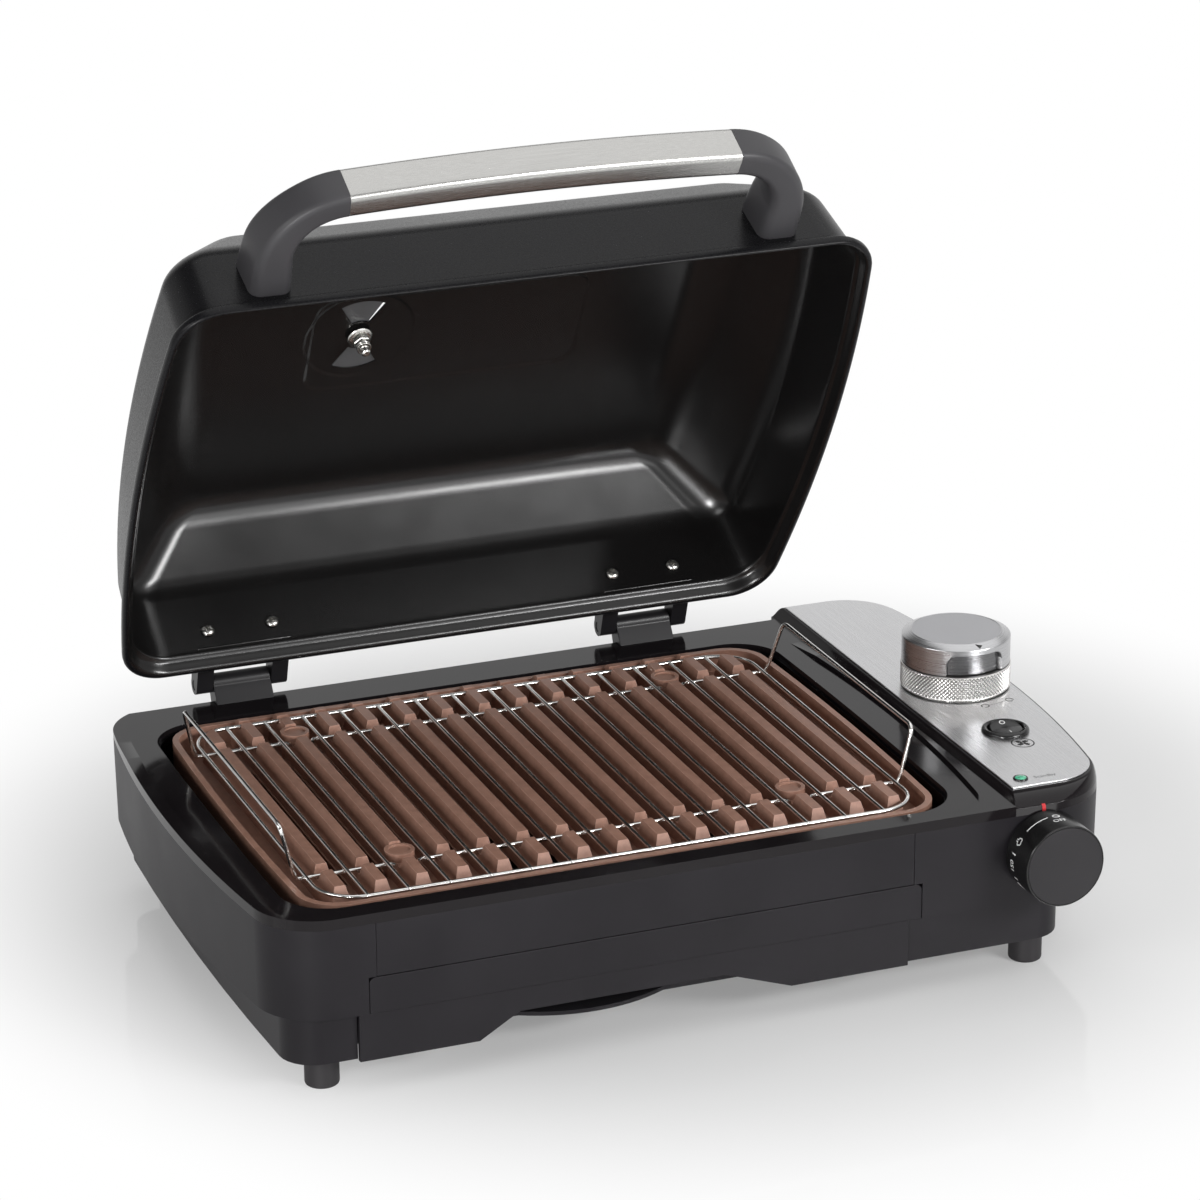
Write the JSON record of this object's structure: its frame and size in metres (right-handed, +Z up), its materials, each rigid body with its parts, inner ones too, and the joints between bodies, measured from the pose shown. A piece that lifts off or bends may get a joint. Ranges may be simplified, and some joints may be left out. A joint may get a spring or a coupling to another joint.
{
  "type": "electric indoor grill with lid",
  "caption": "Countertop electric grill: slotted ribbed plate under a wire rack, pull-out drip tray, smoker cup and dial on a side console, and a deep hinged lid with a bar handle, shown open.",
  "frame": {"origin": "centre of the bounding box's footprint, on the table under the feet", "axes": "X to the right across the console, Y to the back, Z up; the tray and the knob face -Y"},
  "size_m": [0.437, 0.3383, 0.3916],
  "materials": {
    "housing_plastic": "moulded, fine satin grain",
    "gloss_trim": "polished black",
    "black_plastic": "smooth satin black",
    "lid_enamel": "satin black enamel",
    "basin_enamel": "gloss black enamel",
    "plate_coat": "cast, brown non-stick coat",
    "brushed_sheet": "brushed along the depth",
    "wire_chrome": "bright plated wire",
    "turned_aluminium": "turned and knurled",
    "hardware": "plain fasteners",
    "tray_metal": "dark coated sheet",
    "rod_metal": "heat-darkened rod",
    "ceramic": "white ceramic",
    "foot_rubber": "plain",
    "red_mark": "printed red",
    "green_lens": "clear green"
  },
  "bodies": {
    "base": {"base_pan": "housing_plastic", "feet": "foot_rubber", "base_screws": "hardware", "housing": "housing_plastic", "front_panel": "housing_plastic", "top_frame": "gloss_trim", "pointer_mark": "red_mark", "console_plate": "brushed_sheet", "basin_liner": "basin_enamel", "heating_element": "rod_metal", "element_cradles": "hardware", "terminal_blocks": "ceramic", "hinge_arms": "black_plastic", "hinge_pins": "hardware", "smoker_well": "hardware", "rocker_bezel": "black_plastic", "indicator_lens": "green_lens", "thermostat": "ceramic", "fan_shroud": "black_plastic", "fan_motor": "hardware", "cord_gland": "black_plastic"},
    "plate": {"grill_plate": "plate_coat"},
    "rack": {"wire_rack": "wire_chrome", "rack_handles": "wire_chrome"},
    "tray": {"drip_tray": "tray_metal", "drip_tray_front": "housing_plastic"},
    "lid": {"lid_shell": "lid_enamel", "handle_bar": "brushed_sheet", "left_bracket": "black_plastic", "right_bracket": "black_plastic", "handle_screws": "hardware", "hinge_leaves": "black_plastic", "hinge_screws": "hardware"},
    "vent": {"vent_dial": "black_plastic", "vent_stud": "hardware", "vent_spring": "hardware", "vent_washer": "hardware"},
    "cup": {"smoker_cup": "turned_aluminium", "chip_screen": "hardware"},
    "cap": {"smoker_cap": "turned_aluminium"},
    "switch": {"rocker": "black_plastic"},
    "knob": {"thermostat_knob": "black_plastic", "thermostat_shaft": "hardware"},
    "fan": {"fan_impeller": "black_plastic"}
  },
  "joints": [
    {"name": "lid_hinge", "type": "hinge", "parent": "base", "child": "lid", "pos_m": [-0.0309, 0.13189, 0.0951], "axis": [1, 0, 0], "range_deg": [0, 60]},
    {"name": "vent_turn", "type": "hinge", "parent": "lid", "child": "vent", "pos_m": [-0.0769, 0.11501, 0.27114], "axis": [0, 0.866, 0.5], "range_deg": [-56, 20]},
    {"name": "tray_slide", "type": "slide", "parent": "base", "child": "tray", "axis": [0, -1, 0], "range_m": [0, 0.2]},
    {"name": "plate_lift", "type": "slide", "parent": "base", "child": "plate", "axis": [0, 0, 1], "range_m": [0, 0.012]},
    {"name": "rack_lift", "type": "slide", "parent": "plate", "child": "rack", "axis": [0, 0, 1], "range_m": [0, 0.012]},
    {"name": "cup_lift", "type": "slide", "parent": "base", "child": "cup", "axis": [0, 0, 1], "range_m": [0, 0.045]},
    {"name": "cap_turn", "type": "hinge", "parent": "cup", "child": "cap", "pos_m": [0.1908, -0.00291, 0.106], "axis": [0, 0, 1], "range_deg": [0, 25.5]},
    {"name": "switch_tilt", "type": "hinge", "parent": "base", "child": "switch", "pos_m": [0.1857, -0.06901, 0.0895], "axis": [1, 0, 0], "range_deg": [-14, 0]},
    {"name": "knob_turn", "type": "hinge", "parent": "base", "child": "knob", "pos_m": [0.1671, -0.14741, 0.065], "axis": [0, 1, 0], "range_deg": [0, 270]},
    {"name": "fan_spin", "type": "hinge", "parent": "base", "child": "fan", "pos_m": [0.16, 0.11559, 0.0627], "axis": [0, 1, 0], "continuous": true}
  ]
}
